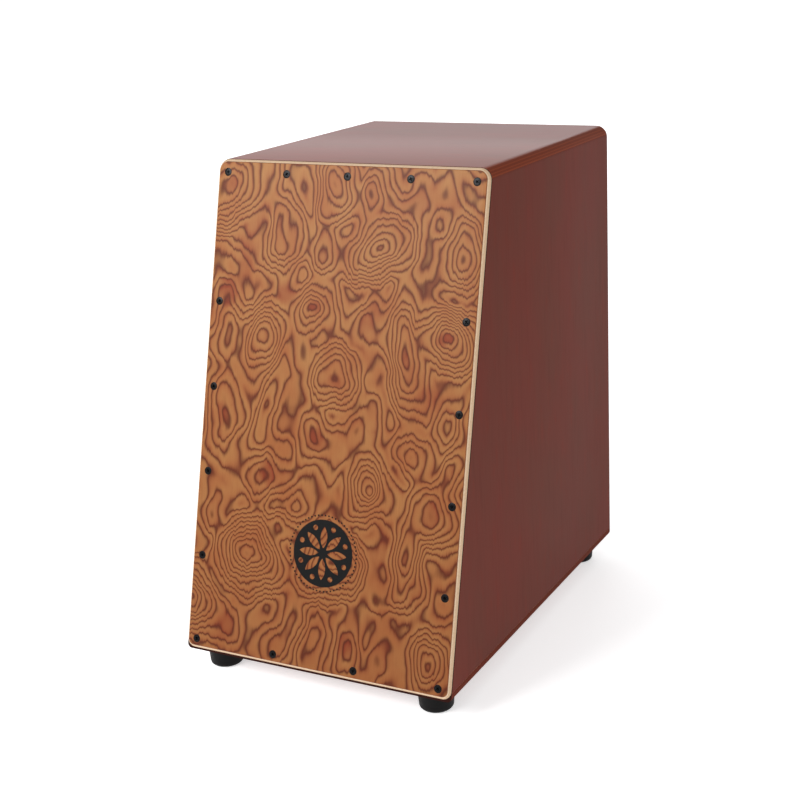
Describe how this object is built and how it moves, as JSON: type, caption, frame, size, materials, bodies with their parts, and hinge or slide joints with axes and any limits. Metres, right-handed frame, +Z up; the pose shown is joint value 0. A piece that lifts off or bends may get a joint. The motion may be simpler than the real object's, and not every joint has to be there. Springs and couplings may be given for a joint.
{
  "type": "cajon",
  "caption": "Box drum that is sat on and played by hand: sloping veneered front face screwed to a stained plywood body, rear sound port, inner snares and rubber feet.",
  "frame": {"origin": "middle of the footprint, on the floor under the rubber feet", "axes": "+Z up to the seat; -Y is the side the playing face looks to; +X is to the right as a listener sees the playing face"},
  "size_m": [0.298, 0.4263, 0.4992],
  "materials": {
    "figured_veneer": "satin lacquered figured veneer with dark contour-like grain",
    "face_plywood": "pale plywood, sanded and lacquered edge",
    "stained_plywood": "dark red-brown stain under satin lacquer",
    "raw_softwood": "planed, unfinished",
    "raw_beech": "planed, unfinished",
    "black_screws": "black phosphate",
    "black_print": "black printed ink",
    "black_rubber": "moulded matt",
    "zinc_steel": "zinc plated",
    "snare_steel": "drawn steel wire"
  },
  "bodies": {
    "root": {"tapa_veneer": "figured_veneer", "tapa_core": "face_plywood", "tapa_screws": "black_screws", "roundel_print": "black_print", "top_panel": "stained_plywood", "bottom_panel": "stained_plywood", "side_panel_left": "stained_plywood", "side_panel_right": "stained_plywood", "back_panel": "stained_plywood", "front_batten_top": "raw_softwood", "front_batten_bottom": "raw_softwood", "front_batten_left": "raw_softwood", "front_batten_right": "raw_softwood", "rear_batten_top": "raw_softwood", "rear_batten_bottom": "raw_softwood", "rear_batten_left": "raw_softwood", "rear_batten_right": "raw_softwood", "corner_strip_top_left": "raw_softwood", "corner_strip_top_right": "raw_softwood", "corner_strip_bottom_left": "raw_softwood", "corner_strip_bottom_right": "raw_softwood", "foot_front_left": "black_rubber", "foot_front_right": "black_rubber", "foot_rear_left": "black_rubber", "foot_rear_right": "black_rubber", "foot_washers": "zinc_steel", "foot_screws": "zinc_steel", "snare_bar": "raw_beech", "snare_bar_screws": "zinc_steel", "snare_plate_left": "zinc_steel", "snare_plate_right": "zinc_steel", "snare_plate_screws": "zinc_steel", "snare_wires_left": "snare_steel", "snare_wires_right": "snare_steel"}
  },
  "joints": []
}
